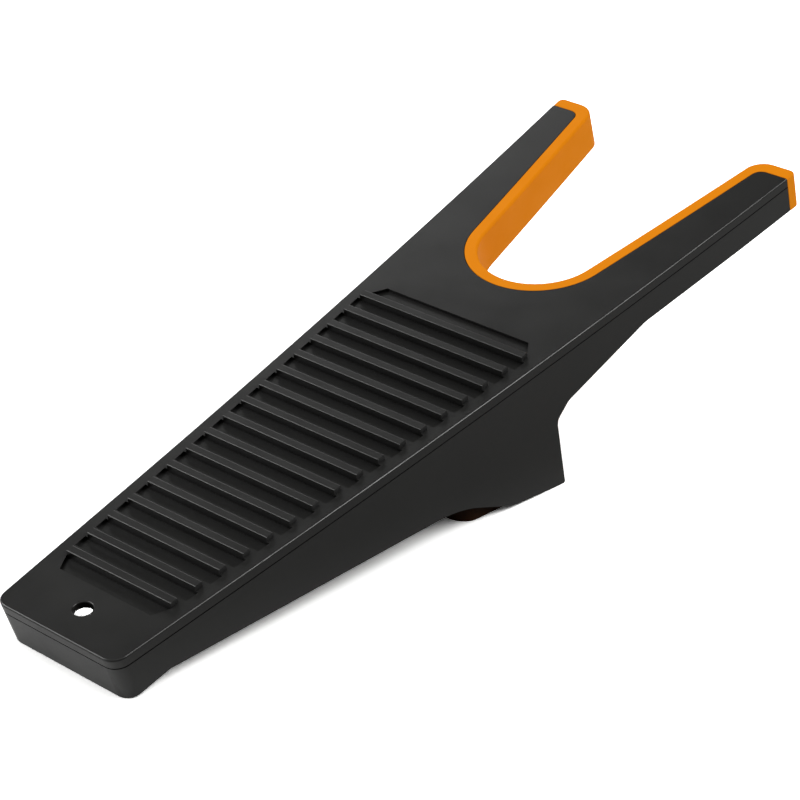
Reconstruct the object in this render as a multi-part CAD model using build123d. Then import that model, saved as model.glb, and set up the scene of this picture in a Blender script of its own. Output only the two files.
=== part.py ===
from build123d import *
import math
import os

# A boot jack: a ramp that one foot stands on, with a fork at the high end that holds the heel
# of the other boot. X runs from the low front edge towards the fork, Y to the left, Z up.
# The sections below measure X from the front edge. The finished pieces are moved so that the
# origin is on the floor under the middle of the whole jack. All lengths are millimetres.

os.makedirs("parts", exist_ok=True)

# Side profile
front_height = 18.1
straight_run = 60.1
straight_rise = 11.75
tip_run = 353.6
tip_rise = 78.15
arm_depth = 17.0
front_lean_deg = 22.0

# Lower edge of the side walls, from the front contact to the back of the prop foot
floor_clearance = 0.05
front_contact_end = 8.8
front_step_end = 24.8
front_step_height = 5.2
ramp_start = 168.2
ramp_height = 12.1
sole_start = 198.6
sole_start_height = 1.35
sole_flat_start = 224.0
sole_end = 230.2
heel_top_run = 220.4
heel_top_height = 30.9
haunch_low_run = 226.0
haunch_low_height = 37.85
haunch_high_run = 268.9
haunch_high_height = 57.95
front_step_radius = 6.0
ramp_radius = 60.0
sole_radius = 25.0
sole_corner_radius = 0.8
heel_radius = 4.5
haunch_radius = 18.0

# Plan, measured square to the moulding's draw
front_half_width = 28.5
tip_half_width = 58.7
black_length = 357.4
front_corner_radius = 5.8
seam_depth = 4.0
seam_width = 0.5
seam_inset = 0.35
edge_round = 0.7

# Fork
notch_centre = 269.1
notch_radius = 30.65
tip_arm_width = 13.45
arm_inner_round = 4.5
lining_thickness = 5.4
tip_cap = 6.7
lining_inner_round = 9.0
tip_outer_round = 2.6
tip_lower_round = 2.6
seat_gap = 0.3
lining_round = 1.1
window_depth = 2.0
window_width = 7.0
window_height = 6.0
window_drop = 5.0
window_runs = [290.0, 320.0]

# Shell
wall = 2.5
deck_thickness = 2.8
web = 1.8
web_rise = 2.0
long_web_spread = 14.0
cross_web_pitch = 30.0
cross_web_first = 24.0
front_bay_end = 54.0
front_web_depth = 4.0

# Tread
rib_count = 17
rib_pitch = 11.0
first_rib = 31.35
rib_thickness = 3.5
rib_proud = 2.0
rib_edge_inset = 6.4
rib_round = 0.45
pocket_run = 5.5
pocket_depth = 1.15
pocket_edge_inset = 5.2
first_pocket_run = 6.6
first_pocket_inset = 9.0
first_pocket_far_inset = 6.2
last_pocket_inset = 8.3
last_pocket_far_inset = 12.3

# Hang hole
hole_radius = 3.5
hole_station = 14.4
hole_rim_round = 0.6

# Anti-slip pads under the foot and the front edge
pad_height = 6.0
pad_front = 176.0
pad_back = 225.0
pad_side_inset = 5.6
pad_round = 8.0
front_pad_height = 3.2
front_pad_front = 10.6
front_pad_back = 22.0
front_pad_half_width = 19.0
front_pad_round = 4.0

half_share = 0.5

# Values that follow from the ones above
full_length = black_length + tip_cap
taper = (tip_half_width - front_half_width) / black_length
straight_slope = math.atan2(straight_rise, straight_run)
straight_length = math.hypot(straight_run, straight_rise)
chord_run = tip_run - straight_run
chord_rise = tip_rise - straight_rise
chord_slope = math.atan2(chord_rise, chord_run)
half_turn = chord_slope - straight_slope
deck_radius = math.hypot(chord_run, chord_rise) / (2 * math.sin(half_turn))
deck_length = straight_length + 2 * half_turn * deck_radius
run_out = deck_length + 2 * arm_depth
mouth_half_width = tip_half_width - tip_arm_width
mouth_reach = math.hypot(black_length - notch_centre, mouth_half_width)
spread = math.atan2(mouth_half_width, black_length - notch_centre) - math.asin(notch_radius / mouth_reach)
lean = math.radians(front_lean_deg)
clear = 2 * tip_half_width
core_inset = wall * half_share
draw_plane = Plane(
    origin=(0, 0, front_height),
    x_dir=(math.cos(lean), 0, math.sin(lean)),
    z_dir=(-math.sin(lean), 0, math.cos(lean)),
)
side_plane = Plane.XZ


def deck_point(station, depth=0.0):
    """Point of the deck line at a length along it, or that deep below it, with its slope."""
    if station <= straight_length:
        slope = straight_slope
        x = station * math.cos(slope)
        z = front_height + station * math.sin(slope)
    else:
        slope = straight_slope + (station - straight_length) / deck_radius
        x = straight_run + deck_radius * (math.sin(slope) - math.sin(straight_slope))
        z = front_height + straight_rise + deck_radius * (math.cos(straight_slope) - math.cos(slope))
    return x + depth * math.sin(slope), z - depth * math.cos(slope), slope


def deck_height(x):
    """Height of the deck line over a point of the floor."""
    if x <= straight_run:
        return front_height + x * math.tan(straight_slope)
    sine = math.sin(straight_slope) + (x - straight_run) / deck_radius
    drop = math.cos(straight_slope) - math.sqrt(1 - sine * sine)
    return front_height + straight_rise + deck_radius * drop


def side_slab(face):
    """A side-view outline carried through the whole width."""
    return extrude(side_plane * face, clear, both=True)


def band_face(top, bottom):
    """Side view of the layer between two depths below the deck line, longer than the part."""
    edges = []
    for depth in (top, bottom):
        start = deck_point(-arm_depth, depth)[:2]
        bend = deck_point(straight_length, depth)[:2]
        middle = deck_point((straight_length + run_out) / 2, depth)[:2]
        end = deck_point(run_out, depth)[:2]
        edges.append((start, bend, middle, end))
    upper, lower = edges
    return make_face([
        Line(upper[0], upper[1]),
        ThreePointArc(upper[1], upper[2], upper[3]),
        Line(upper[3], lower[3]),
        ThreePointArc(lower[3], lower[2], lower[1]),
        Line(lower[1], lower[0]),
        Line(lower[0], upper[0]),
    ])


def band(top, bottom):
    """The layer between two depths below the deck line, through the whole width."""
    return side_slab(band_face(top, bottom))


def draw_prism(sketch):
    """A plan outline carried along the moulding's draw."""
    return extrude(draw_plane * sketch, clear + full_length, both=True)


def nearest(shape, x, y):
    """The vertex of a flat outline nearest to a point."""
    return min(shape.vertices(), key=lambda v: math.hypot(v.X - x, v.Y - y))


def half_width(run):
    """Half the deck's width at a length along the draw plane."""
    return front_half_width + taper * run


def plan_outline(end, inset=0.0, front_inset=0.0):
    """The tapered plan from the front edge to a given length, drawn in by an inset."""
    narrow = half_width(front_inset) - inset
    wide = half_width(end) - inset
    face = make_face(Polyline(
        (front_inset, -narrow), (end, -wide), (end, wide), (front_inset, narrow), close=True,
    ))
    corners = [nearest(face, front_inset, side * narrow) for side in (-1, 1)]
    return fillet(corners, front_corner_radius - inset / 2)


def notch_half_width(run, radius):
    """Half the notch's width between its arms at a length along the draw plane."""
    return (radius + (run - notch_centre) * math.sin(spread)) / math.cos(spread)


def notch_outline(radius, end):
    """The heel notch: a round root with arms that spread from it to beyond the given length."""
    touch_x = notch_centre - radius * math.sin(spread)
    touch_y = radius * math.cos(spread)
    mouth_y = notch_half_width(end, radius)
    arms = make_face(Polyline(
        (touch_x, -touch_y), (end, -mouth_y), (end, mouth_y), (touch_x, touch_y), close=True,
    ))
    return Pos(notch_centre, 0) * Circle(radius) + arms


def fork_plan(end, radius, inner_round, outer_round=0.0):
    """Plan outline less the notch, with the four corners of the tips rounded."""
    face = plan_outline(end) - notch_outline(radius, end + clear)
    for side in (-1, 1):
        face = fillet(nearest(face, end, side * notch_half_width(end, radius)), inner_round)
        if outer_round:
            face = fillet(nearest(face, end, side * half_width(end)), outer_round)
    return face


# Side view of the shell below the deck line
bend = deck_point(straight_length)[:2]
deck_middle = deck_point((straight_length + run_out) / 2)[:2]
deck_end = deck_point(run_out)[:2]
arm_end = deck_point(run_out, arm_depth)[:2]
arm_middle = deck_point((run_out + haunch_high_run) / 2, arm_depth)[:2]
ahead = deck_point(-arm_depth)[:2]
haunch_high = (haunch_high_run, haunch_high_height)
heel_top = (heel_top_run, heel_top_height)
lower_edge = [
    haunch_high,
    (haunch_low_run, haunch_low_height),
    heel_top,
    (sole_end, floor_clearance),
    (sole_flat_start, floor_clearance),
    (sole_start, sole_start_height),
    (ramp_start, ramp_height),
    (front_step_end, front_step_height),
    (front_contact_end, floor_clearance),
    (ahead[0], floor_clearance),
]
profile = make_face([
    Line(ahead, bend),
    ThreePointArc(bend, deck_middle, deck_end),
    Line(deck_end, arm_end),
    Line(arm_end, arm_middle),
    Line(arm_middle, haunch_high),
    Polyline(*lower_edge),
    Line(lower_edge[-1], ahead),
])
corner_rounds = [
    (haunch_high, haunch_radius),
    ((haunch_low_run, haunch_low_height), heel_radius),
    (heel_top, heel_radius),
    ((sole_end, floor_clearance), sole_corner_radius),
    ((sole_start, sole_start_height), sole_radius),
    ((ramp_start, ramp_height), ramp_radius),
    ((front_step_end, front_step_height), front_step_radius),
    ((front_contact_end, floor_clearance), front_step_radius),
]
for corner, radius in corner_rounds:
    profile = fillet(nearest(profile, *corner), radius)
side_form = side_slab(profile)

# Outer form: a fine parting groove runs round it a little below the deck
outer = draw_prism(plan_outline(black_length))
rim = outer & band(-arm_depth, seam_depth)
skirt = outer & band(seam_depth + seam_width, clear)
neck = draw_prism(plan_outline(black_length, seam_inset, seam_inset))
blank = side_form & (neck + rim + skirt)


def is_deck_rim(edge):
    """True for an edge of the deck that runs along its sides, front or front corners."""
    ends = [edge.position_at(share) for share in (0, 1)]
    middle = edge.position_at(half_share)
    on_deck = all(abs(p.Z - deck_height(p.X)) < edge_round / 2 for p in ends + [middle])
    at_side = abs(middle.Y) > front_half_width - front_corner_radius
    at_front = middle.X < edge_round
    return on_deck and (at_side or at_front)


blank = fillet([edge for edge in blank.edges() if is_deck_rim(edge)], edge_round)

# Hollow underside with the heel wall across the back of the prop foot
hollow = draw_prism(plan_outline(black_length - wall, wall + seam_inset, wall)) & band(deck_thickness, clear)
shell = blank - hollow
inside = side_form & draw_prism(plan_outline(black_length - core_inset, core_inset + seam_inset, core_inset))
back_angle = math.atan2(sole_end - heel_top_run, heel_top_height - floor_clearance)
wall_top = 2 * heel_top_height / math.cos(back_angle)
heel_plane = Plane(
    origin=(sole_end, 0, floor_clearance),
    x_dir=(-math.sin(back_angle), 0, math.cos(back_angle)),
    z_dir=(0, -1, 0),
)
heel_wall = extrude(heel_plane * Pos(wall_top / 2, wall / 2) * Rectangle(wall_top, wall), clear, both=True)

# Webs under the deck, kept a little above the lower edge of the walls
web_count = int((black_length - cross_web_first) / cross_web_pitch)
web_length = black_length - cross_web_first
webs = [Pos(cross_web_first + i * cross_web_pitch, 0) * Rectangle(web, clear) for i in range(web_count + 1)]
for side in (-1, 1):
    webs.append(Pos(cross_web_first + web_length / 2, side * long_web_spread) * Rectangle(web_length, web))
grid = draw_prism(Sketch() + webs) & inside & Pos(0, 0, web_rise) * side_form
front_bay = draw_prism(Pos(front_bay_end / 2 - web, 0) * Rectangle(front_bay_end, clear))
grid = grid - (front_bay & band(deck_thickness + front_web_depth, clear))

# Seats for the anti-slip pads: level plates between the walls, open below
sole_length = sole_end - pad_front
sole_seat = Pos(pad_front + sole_length / 2, 0, pad_height + wall / 2) * Box(
    sole_length + 2 * wall, clear, wall)
front_seat = Pos(front_pad_back / 2, 0, front_pad_height + wall / 2) * Box(
    front_pad_back + 2 * wall, clear, wall)
pad_room = Pos(pad_front + sole_length / 2 - wall, 0, 0) * Box(sole_length, clear, 2 * pad_height)
inner = grid - pad_room
for piece in (sole_seat, front_seat, heel_wall):
    inner = inner + (piece & inside)
shell = shell + inner

# Heel notch with a wall behind the lining, and closed ends to the arms
body_plan = fork_plan(black_length, notch_radius, arm_inner_round)
notch_walls = draw_prism(body_plan & notch_outline(notch_radius + wall, black_length + clear)) & inside
shell = (shell + (notch_walls & band(deck_thickness / 2, clear))) & draw_prism(body_plan)


def deck_frame(station):
    """Plane lying on the deck at a length along it: x up the slope, y across, z out of the deck."""
    x, z, slope = deck_point(station)
    return Plane(
        origin=(x, 0, z),
        x_dir=(math.cos(slope), 0, math.sin(slope)),
        z_dir=(-math.sin(slope), 0, math.cos(slope)),
    )


def deck_half_width(station):
    """Half the deck's width at a length along it."""
    x, z, slope = deck_point(station)
    return half_width(x * math.cos(lean) + (z - front_height) * math.sin(lean))


def pocket(station, run, near_inset, far_inset):
    """Room for a shallow pocket that ends at a station, with its own inset at each end."""
    near = deck_half_width(station - run) - near_inset
    far = deck_half_width(station) - far_inset
    outline = make_face(Polyline((-run, -near), (0, -far), (0, far), (-run, near), close=True))
    frame = deck_frame(station)
    return extrude(frame * Pos(0, 0, -pocket_depth) * outline, pocket_depth + rib_proud)


def rib(station):
    """One rib, from the pocket's floor to its flat top, with rounded long edges."""
    span = deck_half_width(station) - rib_edge_inset
    height = pocket_depth + rib_proud
    section = Pos(rib_thickness / 2, height / 2) * Rectangle(rib_thickness, height)
    section = fillet([v for v in section.vertices() if v.Y > rib_round], rib_round)
    return deck_frame(station) * Pos(0, 0, -pocket_depth) * extrude(side_plane * section, span, both=True)


# Tread: a pocket in front of every rib and one beyond the last
stations = [first_rib + i * rib_pitch for i in range(rib_count + 1)]
pockets = [pocket(stations[0], first_pocket_run, first_pocket_inset, first_pocket_far_inset)]
for station in stations[1:-1]:
    pockets.append(pocket(station, pocket_run, pocket_edge_inset, pocket_edge_inset))
pockets.append(pocket(stations[-1], pocket_run, last_pocket_inset, last_pocket_far_inset))
shell = shell - pockets
shell = shell + [rib(station) for station in stations[:-1]]

# Hang hole, square to the deck
hole = deck_frame(hole_station) * Cylinder(hole_radius, 2 * deck_thickness)
shell = shell - hole
rim_edges = [e for e in shell.edges() if e.geom_type == GeomType.CIRCLE
             and abs(e.radius - hole_radius) < rib_round
             and e.center().Z > deck_height(e.center().X) - deck_thickness / 2]
shell = fillet(rim_edges, hole_rim_round)

# Windows through the wall behind the lining, two in each arm and one at the root
windows = [Pos(notch_centre - notch_radius - window_depth / 2, 0) * Rectangle(
    window_depth + 4 * seat_gap, window_width)]
for run in window_runs:
    for side in (-1, 1):
        spot = Pos(run, side * (notch_half_width(run, notch_radius) + window_depth / 2))
        turn = Rot(0, 0, side * math.degrees(spread))
        windows.append(spot * turn * Rectangle(window_width, window_depth + 2 * seat_gap))
shell = shell - (draw_prism(Sketch() + windows) & band(window_drop, window_drop + window_height))

# Lining of the notch: one strip of even thickness that also caps both tips
end_room = Pos(0, front_height) * Rot(0, 0, front_lean_deg) * Pos(full_length / 2, 0) * Rectangle(
    full_length, full_length)
strip_side = band_face(0, arm_depth) & end_room
strip_side = fillet(max(strip_side.vertices(), key=lambda v: v.X), tip_lower_round)
strip_plan = fork_plan(full_length, notch_radius - lining_thickness, lining_inner_round, tip_outer_round)
shell_room = offset(body_plan, seat_gap)
lining = draw_prism(strip_plan - shell_room) & side_slab(strip_side)
lining = max(lining.solids(), key=lambda solid: solid.volume)


def is_lining_rim(edge):
    """True for a top edge of the strip on its open side or round its tips."""
    middle = edge.position_at(half_share)
    top = abs(middle.Z - deck_height(middle.X)) < edge_round / 2
    plan = draw_plane.to_local_coords(middle)
    strip_middle = notch_radius - lining_thickness / 2
    if plan.X > notch_centre:
        open_side = abs(plan.Y) < notch_half_width(plan.X, strip_middle)
    else:
        open_side = math.hypot(plan.X - notch_centre, plan.Y) < strip_middle
    at_tip = plan.X > black_length + tip_cap / 2
    return top and (open_side or at_tip)


lining = fillet([edge for edge in lining.edges() if is_lining_rim(edge)], lining_round)


def pad(front, back, front_half, back_half, height, corner):
    """A flat pad on the floor whose sides follow the taper, with rounded corners."""
    face = make_face(Polyline(
        (front, -front_half), (back, -back_half), (back, back_half), (front, front_half), close=True,
    ))
    return extrude(fillet(face.vertices(), corner), height)


foot_pad = pad(
    pad_front, pad_back, half_width(pad_front) - pad_side_inset, half_width(pad_back) - pad_side_inset,
    pad_height, pad_round)
front_pad = pad(
    front_pad_front, front_pad_back, front_pad_half_width, front_pad_half_width, front_pad_height,
    front_pad_round)

nodes = {
    "body_shell": shell,
    "notch_lining": lining,
    "foot_pad": foot_pad,
    "front_pad": front_pad,
}
boxes = [shape.bounding_box() for shape in nodes.values()]
middle_run = (min(box.min.X for box in boxes) + max(box.max.X for box in boxes)) / 2
print("middle of the length", middle_run, "overall", [
    max(getattr(box.max, axis) for box in boxes) - min(getattr(box.min, axis) for box in boxes)
    for axis in ("X", "Y", "Z")])
for name, shape in nodes.items():
    print(name, "solids", len(shape.solids()), "volume", shape.volume)
for name, shape in nodes.items():
    export_step(Pos(-middle_run, 0, 0) * shape, "parts/" + name + ".step")
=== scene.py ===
import math

import bpy
from mathutils import Euler, Matrix, Vector

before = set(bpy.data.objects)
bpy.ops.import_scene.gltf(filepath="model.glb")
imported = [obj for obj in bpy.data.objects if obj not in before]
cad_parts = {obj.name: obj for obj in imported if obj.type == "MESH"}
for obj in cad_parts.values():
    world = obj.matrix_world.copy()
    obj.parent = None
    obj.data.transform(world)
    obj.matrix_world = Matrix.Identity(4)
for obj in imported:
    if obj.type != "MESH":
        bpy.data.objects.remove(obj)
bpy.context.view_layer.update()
mm = 0.001
print("frame loaded")


def srgb(text):
    # a colour written as six hex digits, turned linear
    parts = [int(text[i:i + 2], 16) / 255 for i in (0, 2, 4)]
    linear = [v / 12.92 if v <= 0.04045 else ((v + 0.055) / 1.055) ** 2.4 for v in parts]
    return (*linear, 1.0)


def addNode(tree, kind, settings=None, links=None):
    # a key is a socket's name, a socket's number or else a property of the node
    node = tree.nodes.new(kind)
    for key, value in (settings or {}).items():
        if isinstance(key, int) or key in node.inputs:
            node.inputs[key].default_value = value
        else:
            setattr(node, key, value)
    for key, source in (links or {}).items():
        tree.links.new(source, node.inputs[key])
    return node


def newMaterial(name):
    material = bpy.data.materials.new(name)
    material.use_nodes = True
    material.node_tree.nodes.clear()
    return material, material.node_tree


def paint(piece, material):
    piece.data.materials.clear()
    piece.data.materials.append(material)


def addRelief(tree, place, size, depth, detail=3.0, strength=1.0, under=None):
    # soft bumps of one size and depth, on top of a coarser relief where there is one
    height = addNode(tree, "ShaderNodeTexNoise", {"Scale": 1 / size, "Detail": detail}, {"Vector": place})
    links = {"Height": height.outputs["Fac"]}
    if under is not None:
        links["Normal"] = under
    bump = addNode(tree, "ShaderNodeBump", {"Strength": strength, "Distance": depth}, links)
    return bump.outputs["Normal"]


def cloudySkin(tree, place, look):
    # a faint cloudiness that the colour and the gloss both follow
    cloud = addNode(tree, "ShaderNodeTexNoise", {
        "Scale": 1 / look["cloud"], "Detail": look["cloudDetail"],
    }, {"Vector": place}).outputs["Fac"]
    # sockets 6 and 7 of a colour mix are its two colours, and its output 2 is the result
    tint = addNode(tree, "ShaderNodeMix", {
        "data_type": "RGBA", 6: srgb(look["colour"]), 7: srgb(look["cloudTone"]),
    }, {0: cloud})
    smoothest, roughest = look["roughness"]
    rough = addNode(tree, "ShaderNodeMapRange", {
        "From Min": 0.3, "From Max": 0.7,  # nearly all of the cloud lies in this span
        "To Min": smoothest, "To Max": roughest,
    }, {"Value": cloud})
    return tint.outputs[2], rough.outputs["Result"]


def paintCreaseShade(tree, look, colour):
    # painted shade: how open a point is to the air, 1 in the open and less in a crease, and the colour
    # darkened by it as shade in creases
    air = addNode(tree, "ShaderNodeAmbientOcclusion", {
        "samples": 4, "only_local": look["ownCreases"], "Distance": look["creaseReach"],
    })
    creaseShadeFactor = addNode(tree, "ShaderNodeMapRange", {
        "From Min": 0.2, "From Max": 0.95,  # from a shut corner to a nearly flat wall
        "To Min": look["creaseShadeLeast"], "To Max": 1.0,
    }, {"Value": air.outputs["AO"]}).outputs["Result"]
    shadedColour = addNode(tree, "ShaderNodeMix", {"data_type": "RGBA", 6: (0, 0, 0, 1)}, {0: creaseShadeFactor, 7: colour})
    return creaseShadeFactor, shadedColour.outputs[2]


# black polypropylene from a finely eroded mould, one piece from the deck to the prop foot
shellLook = {
    "name": "mouldedBlackPolypropylene",
    "colour": "10100f",
    "cloudTone": "151513",  # the dustier shade that the cloudiness turns to
    "ior": 1.5,
    "gloss": 0.5,
    "roughness": (0.28, 0.36),
    # painted shade: colour and gloss go darker in the shell's own creases, over this reach and down to
    # this least
    "creaseReach": 5.0 * mm,
    "creaseShadeLeast": 0.2,
    "ownCreases": True,
    "grain": 0.35 * mm,  # about four times the real grain, which would be too fine to show
    "grainDepth": 0.012 * mm,
    "flow": 38 * mm,  # waves that the cooling leaves in the flat walls
    "flowDepth": 0.05 * mm,
    "cloud": 22 * mm,
    "cloudDetail": 4.0,
}


def mouldedPolypropylene(look):
    # gives a satin sheen that bends slowly along the flat walls, and creases made dull and dark by painted
    # shade
    material, tree = newMaterial(look["name"])
    place = addNode(tree, "ShaderNodeTexCoord").outputs["Object"]
    colour, rough = cloudySkin(tree, place, look)
    creaseShadeFactor, colour = paintCreaseShade(tree, look, colour)
    # the gloss, cut down by the same painted shade in the creases
    gloss = addNode(tree, "ShaderNodeMath", {"operation": "MULTIPLY", 1: look["gloss"]}, {0: creaseShadeFactor})
    waves = addRelief(tree, place, look["flow"], look["flowDepth"], detail=1.0)
    grain = addRelief(tree, place, look["grain"], look["grainDepth"], under=waves)
    shader = addNode(tree, "ShaderNodeBsdfPrincipled", {"IOR": look["ior"]}, {
        "Base Color": colour, "Roughness": rough, "Specular IOR Level": gloss.outputs[0], "Normal": grain,
    })
    addNode(tree, "ShaderNodeOutputMaterial", {}, {"Surface": shader.outputs["BSDF"]})
    return material


paint(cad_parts["body_shell"], mouldedPolypropylene(shellLook))
print("shell dressed")


# orange thermoplastic rubber, moulded onto the fork so that the boot's heel grips
liningLook = {
    "name": "mouldedOrangeRubber",
    "colour": "d87f03",
    "cloudTone": "d07804",
    "ior": 1.45,
    "gloss": 0.06,
    "roughness": (0.5, 0.62),
    "grain": 0.5 * mm,  # about five times the real grain, which would be too fine to show
    "grainDepth": 0.02 * mm,
    "cloud": 14 * mm,
    "cloudDetail": 3.0,
}

# the same rubber under the jack, painted dark brown as the shade of the walls round it, and darker still
# by painted shade where the body and the floor close round it
padLook = {
    **liningLook,
    "name": "mouldedRubberInPaintedShade",
    # painted shade: these dark browns stand for the orange rubber in deep shade
    "colour": "4c2c14",
    "cloudTone": "402510",
    # painted shade from the body and the floor round the pads, down to black
    "creaseReach": 60 * mm,
    "creaseShadeLeast": 0.0,
    "ownCreases": False,
}


def mouldedRubber(look):
    # gives a dull even colour with hardly any mirror gloss
    material, tree = newMaterial(look["name"])
    place = addNode(tree, "ShaderNodeTexCoord").outputs["Object"]
    colour, rough = cloudySkin(tree, place, look)
    # painted shade in the creases, where the look asks for it
    if "creaseReach" in look:
        colour = paintCreaseShade(tree, look, colour)[1]
    grain = addRelief(tree, place, look["grain"], look["grainDepth"])
    shader = addNode(tree, "ShaderNodeBsdfPrincipled", {
        "IOR": look["ior"], "Specular IOR Level": look["gloss"],
    }, {"Base Color": colour, "Roughness": rough, "Normal": grain})
    addNode(tree, "ShaderNodeOutputMaterial", {}, {"Surface": shader.outputs["BSDF"]})
    return material


padMaterial = mouldedRubber(padLook)
paint(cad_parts["notch_lining"], mouldedRubber(liningLook))
paint(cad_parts["foot_pad"], padMaterial)
paint(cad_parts["front_pad"], padMaterial)
print("lining and pads dressed")


# uncoated white paper: no gloss at all, so only the soft contact shadow shows on it
floorLook = {
    "name": "uncoatedWhitePaper",
    "half": 4000 * mm,
    "paper": "f6f6f5",
    "mirroredShadowedRight": "8f8f8e",  # as the gloss mirrors it to the right of the jack, darker there as a painted shadow of the jack
    "mirroredLitLeft": "ececeb",  # and to the left of it, lighter there as painted light
    "bounced": "d8d8d7",  # as it lights the jack from below
    "turnStart": -70 * mm,  # across the jack, where the mirrored shade starts to turn
    "turnEnd": -5 * mm,
    "grain": 1.5 * mm,  # coarser than paper's own tooth, which would be too fine to show
    "grainDepth": 0.05 * mm,
    "grainStrength": 0.1,
}


def makeFloor(look):
    half = look["half"]
    corners = [(-half, -half, 0), (half, -half, 0), (half, half, 0), (-half, half, 0)]
    mesh = bpy.data.meshes.new("studioFloor")
    mesh.from_pydata(corners, [], [(0, 1, 2, 3)])
    floor = bpy.data.objects.new("studioFloor", mesh)
    bpy.context.scene.collection.objects.link(floor)
    material, tree = newMaterial(look["name"])
    place = addNode(tree, "ShaderNodeTexCoord").outputs["Object"]
    bump = {"Normal": addRelief(
        tree, place, look["grain"], look["grainDepth"], detail=2.0, strength=look["grainStrength"],
    )}
    # painted shadow and light in what the gloss mirrors: darker to the jack's right, lighter to its left
    across = addNode(tree, "ShaderNodeSeparateXYZ", {}, {0: place}).outputs["Y"]
    turn = addNode(tree, "ShaderNodeMapRange", {
        "interpolation_type": "SMOOTHSTEP", "From Min": look["turnStart"], "From Max": look["turnEnd"],
    }, {"Value": across})
    shade = addNode(tree, "ShaderNodeMix", {
        "data_type": "RGBA", 6: srgb(look["mirroredShadowedRight"]), 7: srgb(look["mirroredLitLeft"]),
    }, {0: turn.outputs["Result"]})
    mirrored = addNode(tree, "ShaderNodeBsdfDiffuse", {}, {"Color": shade.outputs[2], **bump}).outputs[0]
    bounced = addNode(tree, "ShaderNodeBsdfDiffuse", {"Color": srgb(look["bounced"])}, bump).outputs[0]
    paper = addNode(tree, "ShaderNodeBsdfDiffuse", {"Color": srgb(look["paper"])}, bump).outputs[0]
    # the paper added to itself is white to the camera, with the shadow kept and no more light on the jack
    bright = addNode(tree, "ShaderNodeAddShader", {}, {0: paper, 1: paper}).outputs[0]
    ray = addNode(tree, "ShaderNodeLightPath")
    unseen = addNode(tree, "ShaderNodeMixShader", {}, {
        0: ray.outputs["Is Glossy Ray"], 1: bounced, 2: mirrored,
    }).outputs[0]
    surface = addNode(tree, "ShaderNodeMixShader", {}, {
        0: ray.outputs["Is Camera Ray"], 1: unseen, 2: bright,
    }).outputs[0]
    addNode(tree, "ShaderNodeOutputMaterial", {}, {"Surface": surface})
    paint(floor, material)


makeFloor(floorLook)
print("floor laid")


airLook = {
    "lighting": 0.32,
    "mirrored": 0.18,  # dimmer where the gloss mirrors it
}


def makeAir(look):
    world = bpy.data.worlds.new("studioAir")
    bpy.context.scene.world = world
    world.use_nodes = True
    tree = world.node_tree
    tree.nodes.clear()
    white = (1, 1, 1, 1)
    lighting = addNode(tree, "ShaderNodeBackground", {"Color": white, "Strength": look["lighting"]})
    mirrored = addNode(tree, "ShaderNodeBackground", {"Color": white, "Strength": look["mirrored"]})
    ray = addNode(tree, "ShaderNodeLightPath")
    surface = addNode(tree, "ShaderNodeMixShader", {}, {
        0: ray.outputs["Is Glossy Ray"], 1: lighting.outputs[0], 2: mirrored.outputs[0],
    }).outputs[0]
    addNode(tree, "ShaderNodeOutputWorld", {}, {"Surface": surface})


makeAir(airLook)


# rectangular lamps: degrees round the jack and above the floor, and metres
softboxLooks = {
    # an even light on the deck
    "overheadBox": {
        "azimuth": -150, "elevation": 68, "distance": 1.7, "width": 1.2, "height": 1.2, "radiance": 0.8,
    },
    # the sheen on the front edge and the front face
    "leftFrontBox": {
        "azimuth": 126, "elevation": 36, "distance": 1.6, "width": 0.7, "height": 0.8, "radiance": 8.0,
    },
    # the bright line along the deck's right edge
    "rightRearBox": {
        "azimuth": -62, "elevation": 46, "distance": 1.6, "width": 0.5, "height": 0.9, "radiance": 11.0,
    },
    # a faint sheen at the deck's high end
    "rearLeftBox": {
        "azimuth": 52, "elevation": 25, "distance": 1.1, "width": 0.6, "height": 0.5, "radiance": 1.7,
    },
}


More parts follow.
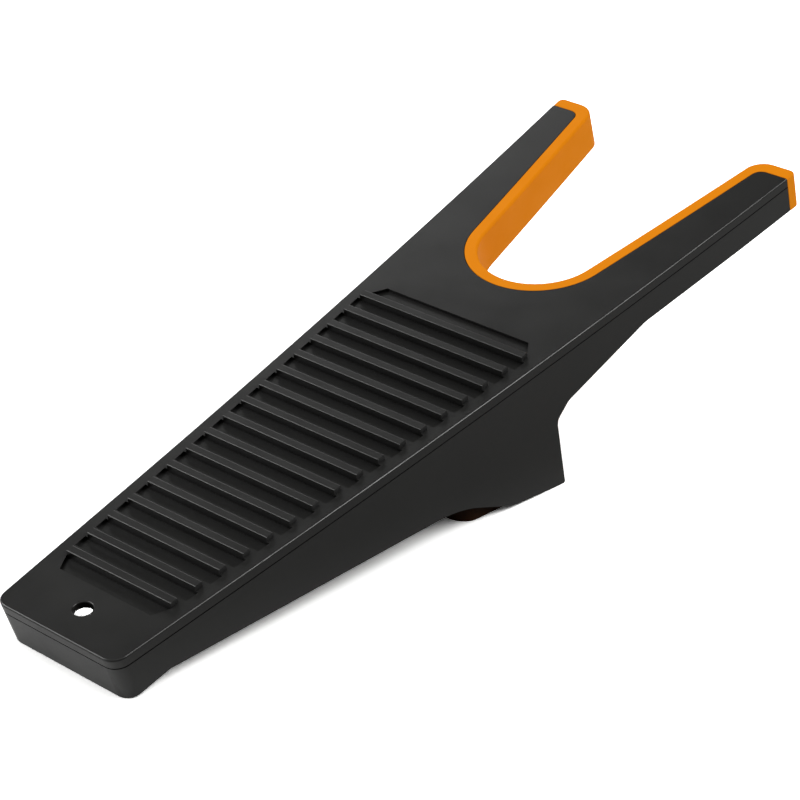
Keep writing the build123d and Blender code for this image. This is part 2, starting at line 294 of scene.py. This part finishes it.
def addLamp(name, shape, stand):
    # a flat lamp that shines down its own Z, where and how its stand holds it
    lamp = bpy.data.lights.new(name, "AREA")
    lamp.shape = shape
    holder = bpy.data.objects.new(name, lamp)
    bpy.context.scene.collection.objects.link(holder)
    holder.matrix_world = stand
    return holder, lamp


def addSoftbox(name, look):
    # on its bearing round the jack, aimed at the jack's middle
    turn = math.radians(look["azimuth"])
    rise = math.radians(look["elevation"])
    away = Vector((math.cos(rise) * math.cos(turn), math.cos(rise) * math.sin(turn), math.sin(rise)))
    aim = away.to_track_quat("Z", "Y").to_matrix().to_4x4()
    stand = Matrix.Translation(away * look["distance"]) @ aim
    lamp = addLamp(name, "RECTANGLE", stand)[1]
    lamp.size = look["width"]
    lamp.size_y = look["height"]
    lamp.energy = look["radiance"] * math.pi * look["width"] * look["height"]


for softboxName, softboxLook in softboxLooks.items():
    addSoftbox(softboxName, softboxLook)


# a small round lamp in the hollow front end, so that white floor shows through the hang hole
bayLook = {
    "place": (-136.4 * mm, 24.7 * mm, 12.0 * mm),
    "radius": 8.0 * mm,
    "radiance": 6.0,
}


def addBayLamp(name, look):
    holder, lamp = addLamp(name, "DISK", Matrix.Translation(look["place"]))
    holder.visible_camera = False
    lamp.size = 2 * look["radius"]
    lamp.energy = look["radiance"] * math.pi * math.pi * look["radius"] ** 2


addBayLamp("bayLamp", bayLook)
print("lights set")


# low on the right of the jack's front end, with a long lens: metres, degrees and millimetres
cameraLook = {
    "place": (-0.64234, -0.49186, 0.45283),
    "turn": (62.7486, -2.9016, -50.9794),
    "focal": 107.59,
    "sensor": 36.0,
    "nearest": 0.01,
}


def makeCamera(look):
    camera = bpy.data.cameras.new("studioCamera")
    camera.lens = look["focal"]
    camera.sensor_width = look["sensor"]
    camera.sensor_fit = "HORIZONTAL"
    camera.clip_start = look["nearest"]
    holder = bpy.data.objects.new("studioCamera", camera)
    bpy.context.scene.collection.objects.link(holder)
    turn = Euler([math.radians(angle) for angle in look["turn"]]).to_matrix()
    holder.matrix_world = Matrix.Translation(look["place"]) @ turn.to_4x4()
    bpy.context.scene.camera = holder


makeCamera(cameraLook)
bpy.context.scene.view_settings.view_transform = "Standard"
print("camera placed")
